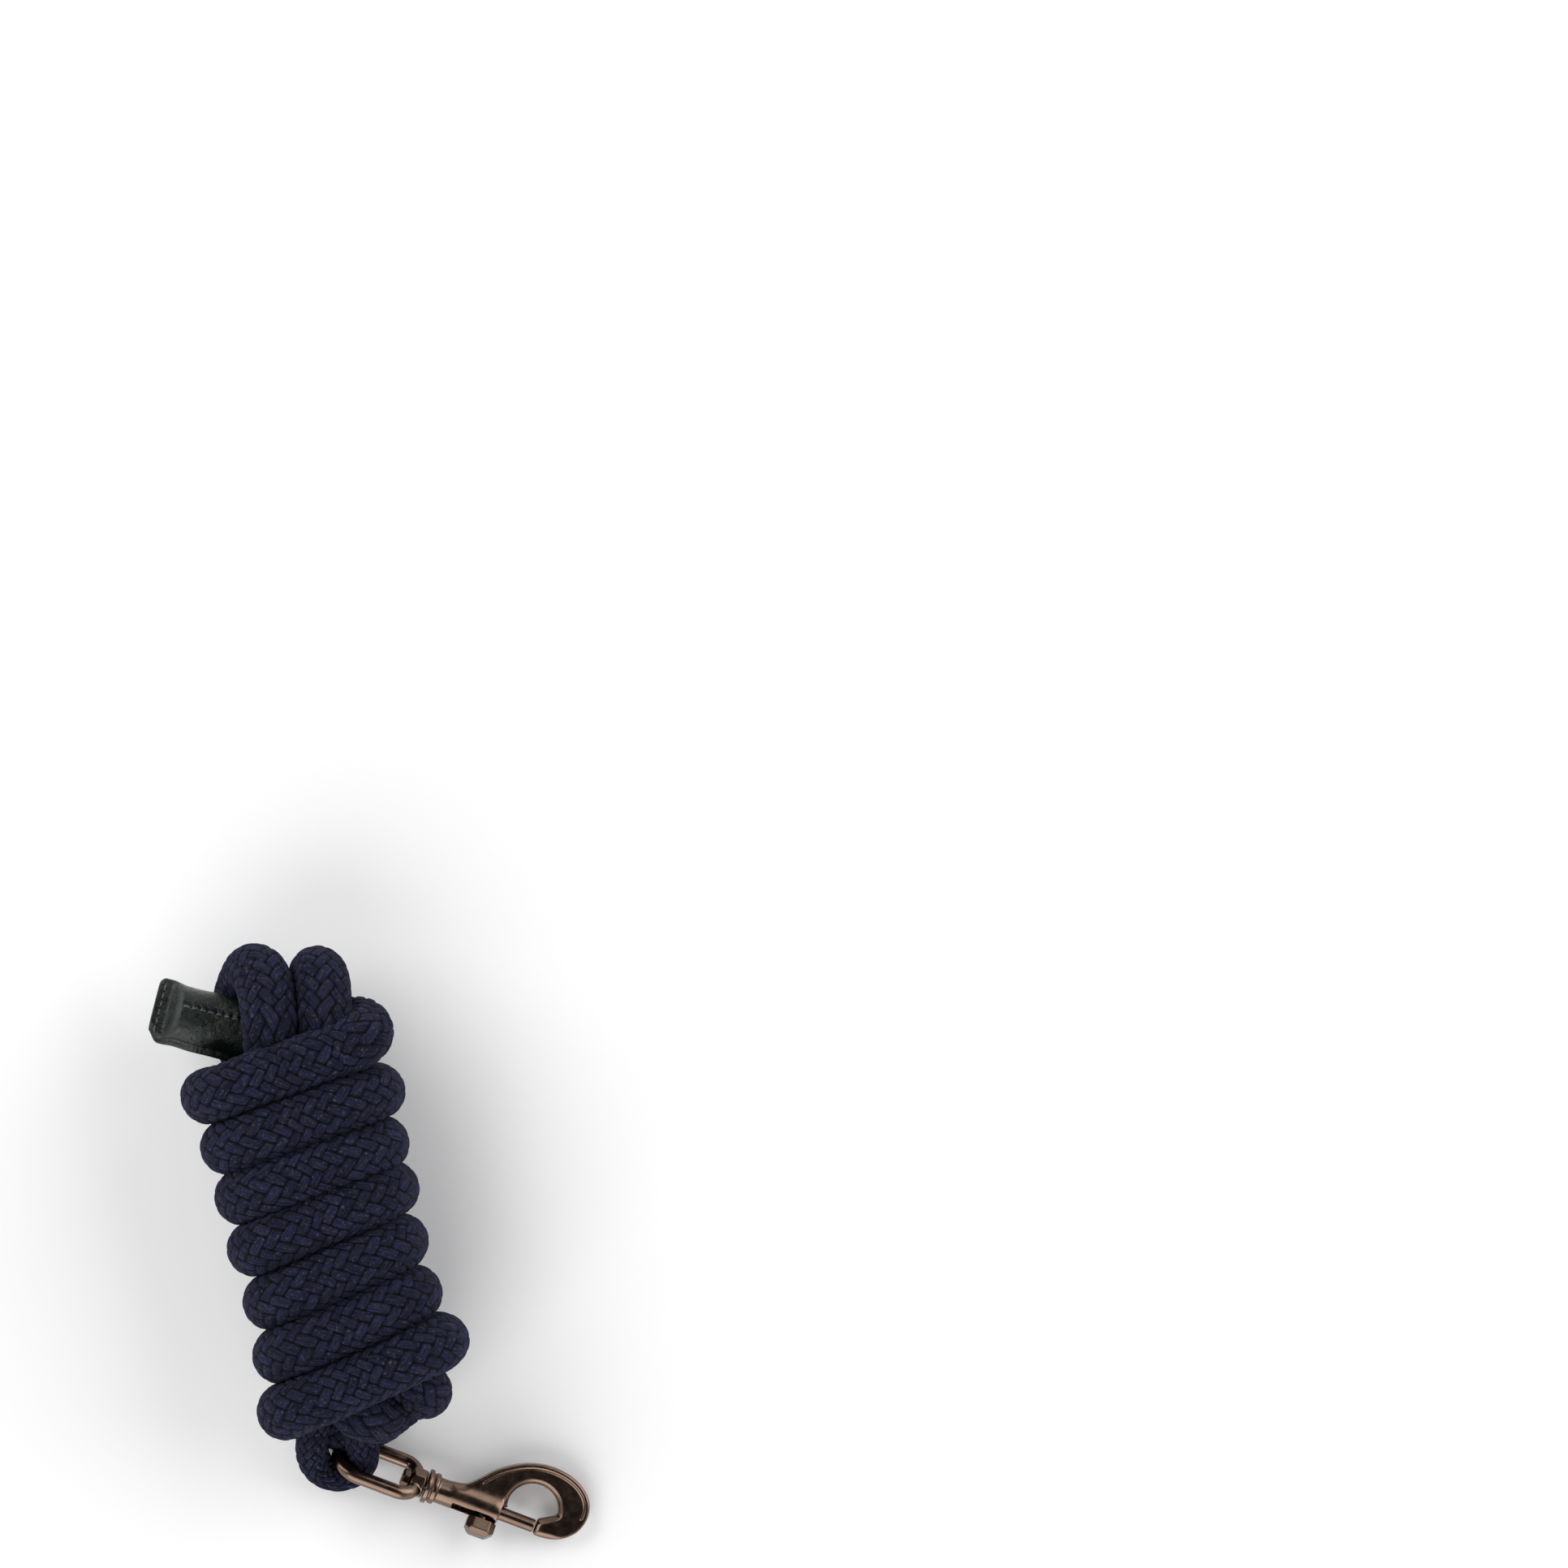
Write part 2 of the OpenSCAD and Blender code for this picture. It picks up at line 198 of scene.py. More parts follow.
def carried_frames(points):
    """The two directions across a path at each point, carried along it without twist."""
    tangents = np.gradient(points, axis=0)
    tangents /= np.linalg.norm(tangents, axis=1)[:, None]
    normal = np.cross(tangents[0], (0.0, 0.0, 1.0))
    normals = np.empty_like(points)
    for i, t in enumerate(tangents):
        normal = normal - t * (normal @ t)
        normal /= np.linalg.norm(normal)
        normals[i] = normal
    return normals, np.cross(tangents, normals)


# ---------------------------------------------------------------- meshes

def new_object(name, verts, faces, material, smooth=True):
    """A mesh object from vertices in metres."""
    mesh = bpy.data.meshes.new(name)
    mesh.from_pydata([], [], [])
    verts = np.asarray(verts, np.float32)
    faces = np.asarray(faces, np.int32)
    mesh.vertices.add(len(verts))
    mesh.vertices.foreach_set("co", verts.ravel())
    mesh.loops.add(faces.size)
    mesh.loops.foreach_set("vertex_index", faces.ravel())
    mesh.polygons.add(len(faces))
    mesh.polygons.foreach_set("loop_start", np.arange(0, faces.size, faces.shape[1], dtype=np.int32))
    mesh.polygons.foreach_set("loop_total", np.full(len(faces), faces.shape[1], dtype=np.int32))
    mesh.polygons.foreach_set("use_smooth", np.full(len(faces), smooth))
    mesh.update(calc_edges=True)
    mesh.validate()
    mesh.materials.append(material)
    obj = bpy.data.objects.new(name, mesh)
    bpy.context.scene.collection.objects.link(obj)
    return obj


def ring_faces(rings, around):
    """Quads between rings of vertices that each close on themselves."""
    i, k = np.meshgrid(np.arange(rings - 1), np.arange(around), indexing="ij")
    m = (k + 1) % around
    quads = [i * around + k, i * around + m, (i + 1) * around + m, (i + 1) * around + k]
    return np.stack(quads, axis=-1).reshape(-1, 4)


def end_caps(rings, around):
    """A fan of quads over the first and the last ring, without middle vertices."""
    half = around // 2
    first = [[k, around - 1 - k, around - 2 - k, k + 1] for k in range(half - 1)]
    base = (rings - 1) * around
    last = [[base + k, base + k + 1, base + around - 2 - k, base + around - 1 - k] for k in range(half - 1)]
    return np.array(first + last)


def sweep(name, path, radius, around, material):
    """A round closed tube along a path in millimetres."""
    path = np.asarray(path, float)
    normals, binormals = carried_frames(path)
    angle = 2 * np.pi * np.arange(around) / around
    c, s = np.cos(angle)[None, :, None], np.sin(angle)[None, :, None]
    ring = c * normals[:, None] + s * binormals[:, None]
    verts = (path[:, None] + radius * ring).reshape(-1, 3)
    faces = np.concatenate([ring_faces(len(path), around), end_caps(len(path), around)])
    return new_object(name, verts * MM, faces, material)


def joined(objects, name):
    """Several mesh objects as one."""
    meshes = bmesh.new()
    for obj in objects:
        meshes.from_mesh(obj.data)
    first = objects[0]
    meshes.to_mesh(first.data)
    meshes.free()
    for obj in objects[1:]:
        bpy.data.objects.remove(obj)
    first.name = name
    return first


def surface_net(field, origin, step):
    """Vertices and quads of the zero surface of a field sampled on a grid, negative inside."""
    inside = field < 0
    cells = tuple(n - 1 for n in field.shape)
    total = np.zeros(cells + (3,), np.float32)
    count = np.zeros(cells, np.float32)
    corner = {c: tuple(slice(o, o + n) for o, n in zip(c, cells)) for c in np.ndindex(2, 2, 2)}
    for start in np.ndindex(2, 2, 2):
        for axis in range(3):
            if start[axis]:
                continue
            end = tuple(o + (k == axis) for k, o in enumerate(start))
            f0, f1 = field[corner[start]], field[corner[end]]
            crossed = (f0 < 0) != (f1 < 0)
            t = np.where(crossed, f0 / np.where(crossed, f0 - f1, 1), 0)
            count += crossed
            for k in range(3):
                total[..., k] += np.where(crossed, start[k] + (t if k == axis else 0), 0)
    active = count > 0
    number = np.full(cells, -1, np.int32)
    number[active] = np.arange(active.sum())
    verts = (np.argwhere(active) + total[active] / count[active][:, None]) * step + origin
    quads = []
    for axis in range(3):
        one, two = [k for k in range(3) if k != axis]
        near = [slice(1, -1)] * 3
        near[axis] = slice(0, -1)
        far = list(near)
        far[axis] = slice(1, None)
        starts_in = inside[tuple(near)]
        crossed = starts_in != inside[tuple(far)]
        at = np.argwhere(crossed) + [int(k != axis) for k in range(3)]
        step_one, step_two = np.eye(3, dtype=int)[one], np.eye(3, dtype=int)[two]
        around = [at - step_one - step_two, at - step_two, at, at - step_one]
        quad = np.stack([number[tuple(p.T)] for p in around], axis=-1)
        turned = starts_in[crossed] == (axis == 1)
        quad[turned] = quad[turned][:, ::-1]
        quads.append(quad)
    return verts, np.concatenate(quads)


# ---------------------------------------------------------------- shapes in the snap's own frame, mm

def smoothstep(low, high, x):
    """From 0 at low to 1 at high, with no corner at either."""
    t = np.clip((x - low) / (high - low), 0, 1)
    return t * t * (3 - 2 * t)


def grid(low, high, step):
    """Sample positions of a box as three arrays that broadcast."""
    axes = [np.arange(a, b + step, step, dtype=np.float32) for a, b in zip(low, high)]
    return np.meshgrid(*axes, indexing="ij", sparse=True)


def shaft(u, v, w, start, end, r, edge=0.3):
    """A cylinder along the barrel's axis with rounded edges."""
    side = np.sqrt(v * v + w * w) - r + edge
    along = np.abs(u - (start + end) / 2) - (end - start) / 2 + edge
    outside = np.sqrt(np.maximum(side, 0) ** 2 + np.maximum(along, 0) ** 2)
    return np.minimum(np.maximum(side, along), 0) + outside - edge


def merged(a, b, blend):
    """The union of two shapes with a fillet."""
    h = np.clip(0.5 + 0.5 * (b - a) / blend, 0, 1)
    return b + (a - b) * h - blend * h * (1 - h)


def cut(a, b, blend):
    """The first shape less the second, with a rounded edge."""
    return -merged(-a, b, blend)


def common(a, b, blend):
    """The space common to two shapes, with a rounded edge."""
    return -merged(-a, -b, blend)


def rolled(v, w, degrees):
    """The cross coordinates seen in a frame that is rolled about the barrel's axis."""
    c, s = math.cos(math.radians(degrees)), math.sin(math.radians(degrees))
    return v * c + w * s, w * c - v * s


def polygon_distance(u, v, points):
    """Signed distance to a closed polygon, negative inside."""
    points = np.array(points, np.float32)
    nearest = np.full(np.broadcast(u, v).shape, 1e9, np.float32)
    inside = np.zeros(nearest.shape, bool)
    for (au, av), (bu, bv) in zip(points, np.roll(points, -1, axis=0)):
        eu, ev = bu - au, bv - av
        t = np.clip(((u - au) * eu + (v - av) * ev) / max(eu * eu + ev * ev, 1e-9), 0, 1)
        nearest = np.minimum(nearest, np.hypot(u - au - t * eu, v - av - t * ev))
        if ev:
            crosses = ((av > v) != (bv > v)) & (u < au + (v - av) * eu / ev)
            inside ^= crosses
    return np.where(inside, -nearest, nearest)


def spline_2d(points, steps):
    """A Catmull-Rom curve through points in a plane."""
    p = np.array([points[0], *points, points[-1]], float)
    curve = []
    for a, b, c, d in zip(p, p[1:], p[2:], p[3:]):
        for k in range(steps):
            t = k / steps
            square = (2 * a - 5 * b + 4 * c - d) * t**2
            cube = (3 * b - a - 3 * c + d) * t**3
            curve.append(0.5 * (2 * b + (c - a) * t + square + cube))
    return curve + [p[-1]]


def cast_piece(name, shape, low, high, step, material):
    """A mesh of a shape function over a box in the snap's frame, put in its place on the part."""
    u, v, w = grid(low, high, step)
    field = np.ascontiguousarray(np.broadcast_to(shape(u, v, w), (u.size, v.size, w.size)), dtype=np.float32)
    verts, quads = surface_net(field, np.array(low), step)
    placed = np.array(SNAP_AT) + verts @ np.array(SNAP_AXES)
    obj = new_object(name, placed * MM, quads, material)
    soften = obj.modifiers.new("soften", "SMOOTH")
    soften.factor = 0.5
    soften.iterations = 3
    return obj


def snap_axes():
    """The snap's own directions in the part's frame, as rows: along the barrel, towards the hook, and up."""
    swing = Matrix.Rotation(math.radians(SNAP_TURN), 3, "Z")
    turn = swing @ Matrix.Rotation(math.radians(SNAP_NOSE_DOWN), 3, "Y")
    return [list(turn.col[k]) for k in range(3)]


COS_45 = 0.7071
SNAP_AT = (19.6, -87.7, 9)
SNAP_TURN = -21
SNAP_NOSE_DOWN = 5
SNAP_AXES = snap_axes()
KNOB_ROLL = -20
EYE_ROLL = -55
BARREL_R = 4.7
BARREL_L = 28.6
HOOK_HALF_T = 3.2
BOWL_AT = (39.3, 5.4)
BOWL_R = 9.4
# Where the beak's tip and its root meet the bowl
TIP_U, TIP_V = 42.3, 3
BEAK_ROOT = (49.2, 7.1)
BOLT_R = 2.5
HOOK_OUTLINE = [
    (10, 3.6), (13.5, 5.2), (17, 8.6), (22.5, 14.6), (29, 19.1), (35.6, 21.7), (42.6, 22.4), (49.6, 21.2),
    (55, 18.2), (58.2, 14), (59, 9), (57.6, 4), (54.2, 0.2), (49.8, -2.2), (45, -3),
]
SLOT_U = (11.4, 25.3)
SLOT_HALF_W = 2.3
SLOT_RISE = 0.6
# The groove that follows the hook's rim: its depth, its place inside the rim and its half width
GROOVE_DEPTH, GROOVE_IN, GROOVE_HALF_W = 0.3, 1.9, 0.35


def bowl_void(u, v):
    """Distance to the bowl's opening, which the beak closes off below."""
    corner_blend = 1.2
    root_u, root_v = BEAK_ROOT
    round_edge = np.hypot(u - BOWL_AT[0], v - BOWL_AT[1]) - BOWL_R
    run = math.hypot(root_u - TIP_U, root_v - TIP_V)
    above_beak = ((u - TIP_U) * (root_v - TIP_V) - (v - TIP_V) * (root_u - TIP_U)) / run
    return common(round_edge, np.maximum(TIP_V - v, above_beak), corner_blend)


def hook_shape(u, v, w):
    """The flat hook: a rounded rim, a fine groove inside it, a flat face and a bevel round the bowl."""
    u2, v2 = u[:, :, 0], v[:, :, 0]
    back = [(43, -2.9), (TIP_U, -2.2), (TIP_U, TIP_V), (BARREL_L, 3), (BARREL_L, 0), (10, 0)]
    rim = polygon_distance(u2, v2, spline_2d(HOOK_OUTLINE, 5) + [np.array(p) for p in back])
    void = bowl_void(u2, v2)
    groove = GROOVE_DEPTH * np.exp(-(((rim + GROOVE_IN) / GROOVE_HALF_W) ** 2)) * (u2 > 19) * (v2 > 8)
    half = HOOK_HALF_T - groove
    # The beak is rounded like a finger, and the rest of the rim has a smaller radius
    finger = smoothstep(7, 3, v2) * smoothstep(53, 48, u2)
    edge = (0.95 + 1.5 * finger)[:, :, None]
    side = rim[:, :, None] + edge
    top = np.abs(w) - half[:, :, None] + edge
    outside = np.sqrt(np.maximum(side, 0) ** 2 + np.maximum(top, 0) ** 2)
    plate = np.minimum(np.maximum(side, top), 0) + outside - edge
    bevel = (np.abs(w) - HOOK_HALF_T + 0.9 * (1.5 + 0.7 * finger[:, :, None] - void[:, :, None])) / 1.35
    plate = common(plate, bevel, 0.35)
    return cut(plate, void[:, :, None], 0.5)


def body_shape(u, v, w):
    """Barrel, stepped flange, hook and beak, less the bore, the slot and the bolt's way to the beak."""
    barrel = shaft(u, v, w, 3, BARREL_L, BARREL_R, 0.5)
    shape = merged(barrel, hook_shape(u, v, w), 3.0)
    shape = merged(shape, shaft(u, v, w, 0, 1.8, 6.35, 0.45), 0.3)
    shape = merged(shape, shaft(u, v, w, 2.5, 4.5, 5.75, 0.45), 0.5)
    shape = merged(shape, shaft(u, v, w, 1, 3.5, 5.3, 0.2), 0.2)
    side, up = rolled(v, w, KNOB_ROLL)
    slot_mid, slot_half = sum(SLOT_U) / 2, (SLOT_U[1] - SLOT_U[0]) / 2
    slot = np.maximum(np.abs(u - slot_mid) - slot_half, np.abs(up - SLOT_RISE) - SLOT_HALF_W)
    slot = np.maximum(slot, side)
    shape = cut(shape, slot, 0.35)
    shape = cut(shape, shaft(u, v, w, 5, BARREL_L + 6, BOLT_R + 0.1, 0.05), 0.4)
    return cut(shape, shaft(u, v, w, BARREL_L + 0.1, TIP_U, BOLT_R + 0.5, 0.05), 0.3)


def octagon(a, b, across):
    """Distance to an octagonal prism's sides."""
    a, b = np.abs(a), np.abs(b)
    return np.maximum(np.maximum(a, b) - across, (a + b) * COS_45 - across)


def eye_shape(u, v, w):
    """The swivel's oval eye of thick wire, its two shoulders and a faceted neck bored for the rivet."""
    side, up = rolled(v, w, EYE_ROLL)
    side = np.abs(side)
    wire_r, half_w, turn_u = 2.6, 9.15, -24.1
    shoulder_u, shoulder_r = -9.6, 6
    neck_u, neck_half_l, neck_across, neck_chamfer, bore_r = -3.05, 2.7, 5.0, 7.4, 2.1
    bow = np.hypot(np.hypot(u - turn_u, side) - half_w, up) - wire_r
    bow = np.maximum(bow, u - turn_u - 0.2)
    bar = np.hypot(side - half_w, up) - wire_r
    bar = np.maximum(bar, np.maximum(turn_u - 0.2 - u, u - shoulder_u - 0.2))
    curl = np.hypot(np.hypot(u - shoulder_u, side - half_w + shoulder_r) - shoulder_r, up) - wire_r
    curl = np.maximum(curl, np.maximum(shoulder_u - u, half_w - shoulder_r - 3 - side))
    neck = np.maximum(octagon(side, up, neck_across), np.abs(u - neck_u) - neck_half_l)
    neck = np.maximum(neck, (np.hypot(side, up) + np.abs(u - neck_u) - neck_chamfer) * COS_45)
    shape = merged(np.minimum(np.minimum(bow, bar), curl), neck, 0.25)
    return cut(shape, shaft(u, v, w, -14, 2, bore_r, 0.05), 0.3)


def rivet_shape(u, v, w):
    """The rivet's shank and its faceted head inside the eye."""
    head_u, head_half_l, head_across, head_chamfer, shank_r = -7.45, 1.65, 3.15, 4.35, 1.98
    side, up = rolled(v, w, EYE_ROLL + 12)
    head = np.maximum(octagon(side, up, head_across), np.abs(u - head_u) - head_half_l)
    head = np.maximum(head, (np.hypot(side, up) + np.abs(u - head_u) - head_chamfer) * COS_45)
    return merged(head, shaft(u, v, w, -7, 5, shank_r, 0.1), 0.3)


def knob_shape(u, v, w):
    """The stud that draws the bolt: a stalk and a chamfered block."""
    stalk_u, stalk_r, stalk_out, stalk_half_l = 23.6, 1.6, 2.8, 4
    half_l, half_w, corner, block_out, block_half_h, top_chamfer = 5.3, 4, 7.1, 8.1, 2.85, 13.3
    side, up = rolled(v, w, KNOB_ROLL)
    along, out = u - stalk_u, -side
    stalk = np.maximum(np.hypot(along, up) - stalk_r, np.abs(out - stalk_out) - stalk_half_l)
    long, wide = np.abs(along), np.abs(up)
    block = np.maximum(long - half_l, wide - half_w)
    block = np.maximum(block, (long + wide - corner) * COS_45)
    block = np.maximum(block, np.abs(out - block_out) - block_half_h)
    reach = np.maximum(long * 0.82, wide)
    block = np.maximum(block, (reach + out - top_chamfer) * COS_45)
    return merged(stalk, block, 0.5)


def rod_shape(u, v, w):
    """The spring bolt, with its mouth end chamfered."""
    return shaft(u, v, w, 19.4, 42, BOLT_R, 0.45)


# ---------------------------------------------------------------- materials

class Nodes:
    """A material's node tree with short ways to add what these materials share."""

    def __init__(self, name, **sockets):
        self.material = bpy.data.materials.new(name)
        self.material.use_nodes = True
        self.tree = self.material.node_tree
        self.shader = self.tree.nodes["Principled BSDF"]
        for socket, value in sockets.items():
            self.shader.inputs[socket.replace("_", " ")].default_value = value
        self.place = self.add("ShaderNodeTexCoord").outputs["Object"]

    def add(self, kind, **settings):
        node = self.tree.nodes.new(kind)
        for key, value in settings.items():
            setattr(node, key, value)
        return node

    def link(self, source, target):
        self.tree.links.new(source, target)

    def noise(self, scale, detail=3, vector=None):
        node = self.add("ShaderNodeTexNoise")
        node.inputs["Scale"].default_value = scale
        node.inputs["Detail"].default_value = detail
        self.link(vector or self.place, node.inputs["Vector"])
        return node.outputs["Fac"]

    def cells(self, scale):
        node = self.add("ShaderNodeTexVoronoi", feature="DISTANCE_TO_EDGE")
        node.inputs["Scale"].default_value = scale
        self.link(self.place, node.inputs["Vector"])
        return node.outputs["Distance"]

    def value(self, name):
        return self.add("ShaderNodeAttribute", attribute_name=name).outputs["Fac"]

    def ramp(self, factor, *stops):
        node = self.add("ShaderNodeValToRGB")
        elements = node.color_ramp.elements
        while len(elements) < len(stops):
            elements.new(0.5)
        for element, (position, colour) in zip(elements, stops):
            element.position = position
            element.color = (*colour, 1) if isinstance(colour, tuple) else (colour, colour, colour, 1)
        self.link(factor, node.inputs["Fac"])
        return node.outputs["Color"]

    def mixed(self, factor, a, b, mode="MIX"):
        node = self.add("ShaderNodeMix", data_type="RGBA", blend_type=mode)
        for source, socket in ((factor, 0), (a, 6), (b, 7)):
            if isinstance(source, (int, float)):
                node.inputs[socket].default_value = source
            elif isinstance(source, tuple):
                node.inputs[socket].default_value = (*source, 1)
            else:
                self.link(source, node.inputs[socket])
        return node.outputs[2]

    def bumps(self, *heights):
        """Bumps one after another, each a height output with its depth in metres."""
        normal = None
        for height, depth in heights:
            node = self.add("ShaderNodeBump")
            node.inputs["Distance"].default_value = depth
            self.link(height, node.inputs["Height"])
            if normal:
                self.link(normal, node.inputs["Normal"])
            normal = node.outputs["Normal"]
        self.link(normal, self.shader.inputs["Normal"])

    def finished(self, colour, roughness=None):
        self.link(colour, self.shader.inputs["Base Color"])
        if roughness:
            self.link(roughness, self.shader.inputs["Roughness"])
        return self.material


def stretched(nodes, vector, x, y):
    """A vector stretched differently along its two directions."""
    node = nodes.add("ShaderNodeMapping")
    node.inputs["Scale"].default_value = (x, y, 1)
    nodes.link(vector, node.inputs["Vector"])
    return node.outputs["Vector"]


def rope_material():
    """Navy yarns: fibre streaks along each yarn, painted shade in the gaps between yarns and a soft heathered
    tone.
    """
    n = Nodes(
        "braided_navy", Roughness=0.93, Sheen_Weight=0.05, Sheen_Roughness=0.5, Specular_IOR_Level=0.08
    )
    n.shader.inputs["Sheen Tint"].default_value = (0.32, 0.33, 0.45, 1)
    weave = n.add("ShaderNodeUVMap", uv_map="weave").outputs["UV"]
    over = n.value("over")
    along_one = n.noise(1, 4, stretched(n, weave, 8, 0.8))
    along_two = n.noise(1, 4, stretched(n, weave, 0.8, 8))
    streak = n.mixed(over, along_two, along_one)
    greyer_navy, bluer_navy = (0.0118, 0.0114, 0.0210), (0.0108, 0.0120, 0.0330)
    pale_fibre, gap_shade_colour = (0.045, 0.045, 0.066), (0.0012, 0.0012, 0.0020)
    heather = n.ramp(n.noise(260, 4), (0.3, greyer_navy), (0.7, bluer_navy))
    tone = n.ramp(n.value("tone"), (0.0, 0.74), (1.0, 1.20))
    colour = n.mixed(1.0, heather, tone, "MULTIPLY")
    fibres = n.ramp(streak, (0.3, 0.48), (0.5, 0.96), (0.72, 2.1))
    colour = n.mixed(1.0, colour, fibres, "MULTIPLY")
    lint = n.ramp(n.noise(900, 2), (0.58, 0.0), (0.75, 1.0))
    colour = n.mixed(lint, colour, pale_fibre)
    # Painted shade: the gaps between yarns are mixed towards near black, where shade falls between them.
    gap_shade = n.ramp(n.value("gap_shade"), (0.19, 0.0), (0.66, 0.95))
    colour = n.mixed(gap_shade, colour, gap_shade_colour)
    blotch = n.ramp(n.noise(700, 3), (0.35, 0.88), (0.65, 1.14))
    colour = n.mixed(1.0, colour, blotch, "MULTIPLY")
    n.bumps((streak, 0.00022), (n.noise(1500, 3), 0.00012))
    return n.finished(colour)


def leather_material():
    """Dark green-black leather, polished, with a fine pebble grain and rubbed places."""
    n = Nodes("sleeve_leather", Specular_IOR_Level=0.40)
    deep, mid, worn = (0.0028, 0.0046, 0.0036), (0.0060, 0.0100, 0.0076), (0.018, 0.026, 0.019)
    colour = n.ramp(n.noise(110, 4), (0.3, deep), (0.55, mid), (0.8, worn))
    # Painted shade: the stitch holes are mixed to near black.
    hole_shade = n.ramp(n.value("hole_shade"), (0.25, 0.0), (0.7, 1.0))
    colour = n.mixed(hole_shade, colour, (0.002, 0.002, 0.002))
    rough = n.ramp(n.noise(160, 3), (0.3, 0.17), (0.75, 0.36))
    n.bumps((n.noise(300, 4), 0.0006), (n.cells(1300), 0.00016), (n.noise(2600, 2), 0.00008))
    return n.finished(colour, rough)


def thread_material(name, dark, light):
    """Waxed thread with its plies."""
    n = Nodes(name, Roughness=0.6, Specular_IOR_Level=0.4)
    plies = n.noise(1800, 3)
    n.bumps((plies, 0.0001))
    return n.finished(n.ramp(plies, (0.35, dark), (0.7, light)))


def bronze_material(name, lift=1.0):
    """Cast metal with a brown gunmetal plating: cloudy gloss, fine pits and rubbed lighter places. A lift
    below 1 darkens the whole colour as painted shade.
    """
    n = Nodes(name, Metallic=1.0)
    clouds = n.noise(95, 4)
    # lift scales the colour down for the darker copies: painted shade, not a different metal.
    deep = tuple(lift * c for c in (0.158, 0.102, 0.076))
    worn = tuple(lift * c for c in (0.206, 0.139, 0.106))
    colour = n.ramp(clouds, (0.3, deep), (0.7, worn))
    specks = n.ramp(n.noise(1100, 2), (0.25, 0.86), (0.36, 1.0))
    colour = n.mixed(1.0, colour, specks, "MULTIPLY")
    rough = n.ramp(n.noise(300, 5), (0.3, 0.19), (0.7, 0.30))
    n.bumps((n.noise(170, 2), 0.000035), (n.noise(1700, 2), 0.000003))
    return n.finished(colour, rough)


def steel_material():
    """Bright drawn spring wire."""
    n = Nodes("spring_steel", Metallic=1.0)
    colour = n.ramp(n.noise(900, 3), (0.3, 0.42), (0.7, 0.62))
    return n.finished(colour, n.ramp(n.noise(500, 3), (0.3, 0.22), (0.7, 0.38)))


def floor_material():
    """A plain pale floor with the least trace of tone."""
    n = Nodes("pale_floor", Roughness=0.85, Specular_IOR_Level=0.1)
    return n.finished(n.ramp(n.noise(3, 2), (0.3, (0.90, 0.90, 0.90)), (0.7, (0.92, 0.92, 0.92))))


# ---------------------------------------------------------------- camera, light and floor

def add_camera():
    """Straight above, framing what the photograph frames."""
    data = bpy.data.cameras.new("camera")
    data.sensor_width = SENSOR_MM
    data.lens = SENSOR_MM * CAMERA_DISTANCE / (IMAGE_SIDE / PIXELS_PER_MM * MM)
    camera = bpy.data.objects.new("camera", data)
    camera.location = PICTURE_CENTRE + Vector((0, 0, CAMERA_DISTANCE))
    bpy.context.scene.collection.objects.link(camera)
    bpy.context.scene.camera = camera


def add_light(name, direction, distance, size, power):
    """A square soft light that faces the object from one side."""
    data = bpy.data.lights.new(name, "AREA")
    data.size = size
    data.energy = power
    light = bpy.data.objects.new(name, data)
    towards = Vector(direction).normalized()
    light.location = towards * distance
    light.rotation_euler = towards.to_track_quat("Z", "Y").to_euler()
    bpy.context.scene.collection.objects.link(light)


def add_world():
    """Bright near the horizon and dim overhead, as in a light tent with an opening for the camera."""
    world = bpy.data.worlds.new("studio")
    world.use_nodes = True
    bpy.context.scene.world = world
    nodes, links = world.node_tree.nodes, world.node_tree.links
    direction = nodes.new("ShaderNodeTexCoord").outputs["Generated"]
    split = nodes.new("ShaderNodeSeparateXYZ")
    ramp = nodes.new("ShaderNodeValToRGB")
    elements = ramp.color_ramp.elements
    elements[0].position, elements[0].color = 0.2, (1.0, 1.0, 1.02, 1)
    elements[1].position, elements[1].color = 0.85, (0.026, 0.026, 0.028, 1)
    links.new(direction, split.inputs[0])
    links.new(split.outputs["Z"], ramp.inputs["Fac"])
    links.new(ramp.outputs["Color"], nodes["Background"].inputs["Color"])
    nodes["Background"].inputs["Strength"].default_value = 1.0


def add_floor():
    """A level square just under the resting surface."""
    half, z = 4.0, -0.0005
    corners = [(-half, -half, z), (half, -half, z), (half, half, z), (-half, half, z)]
    floor = new_object("studio_floor", corners, [(0, 1, 2, 3)], floor_material(), smooth=False)


# ---------------------------------------------------------------- the rope

CARRIERS = 12
BRAID_PITCH = 57
# The braid's depth, and the share of it that stands outside the rope's radius
RELIEF = 0.78
RELIEF_OUT = 0.35
ROPE_AROUND = 120
# How square a yarn is across and along where it shows, as powers
CROWN_POWER = 4.5
ARCH_POWER = 5


def braid(s, theta):
    """A two-over, two-under braid at a length and a turn: height, gap mask for painted shade, upper family
    and yarn tone.
    """
    a = CARRIERS * (s / BRAID_PITCH + theta)
    b = CARRIERS * (s / BRAID_PITCH - theta)
    i, j = np.floor(a), np.floor(b)
    fa, fb = a - i, b - j
    place = np.mod(i - j, 4)
    over = place < 2
    across = np.where(over, fa, fb) - 0.5
    along = np.where(over, 1 - place + fb, place - 2 + fa) / 2
    crown = 1 - np.abs(2 * across) ** CROWN_POWER
    arch = 1 - np.abs(2 * along - 1) ** ARCH_POWER
    height = crown * (0.2 + 0.8 * arch) - 1
    yarn = np.where(over, i + 2 * np.floor((j - i + 1) / 4), j + 2 * np.floor((i - j - 2) / 4))
    carrier = np.where(over, np.mod(i, CARRIERS), CARRIERS + np.mod(j, CARRIERS))
    tone = np.mod(np.sin(yarn * 12.9898 + carrier * 78.233) * 4375.85, 1)
    # How far a point lies in a gap between yarns, which places the painted shade there.
    gap_shade = np.clip(0.8 * np.abs(2 * across) ** 6 + np.abs(2 * along - 1) ** 8, 0, 1)
    return height, gap_shade, over, tone


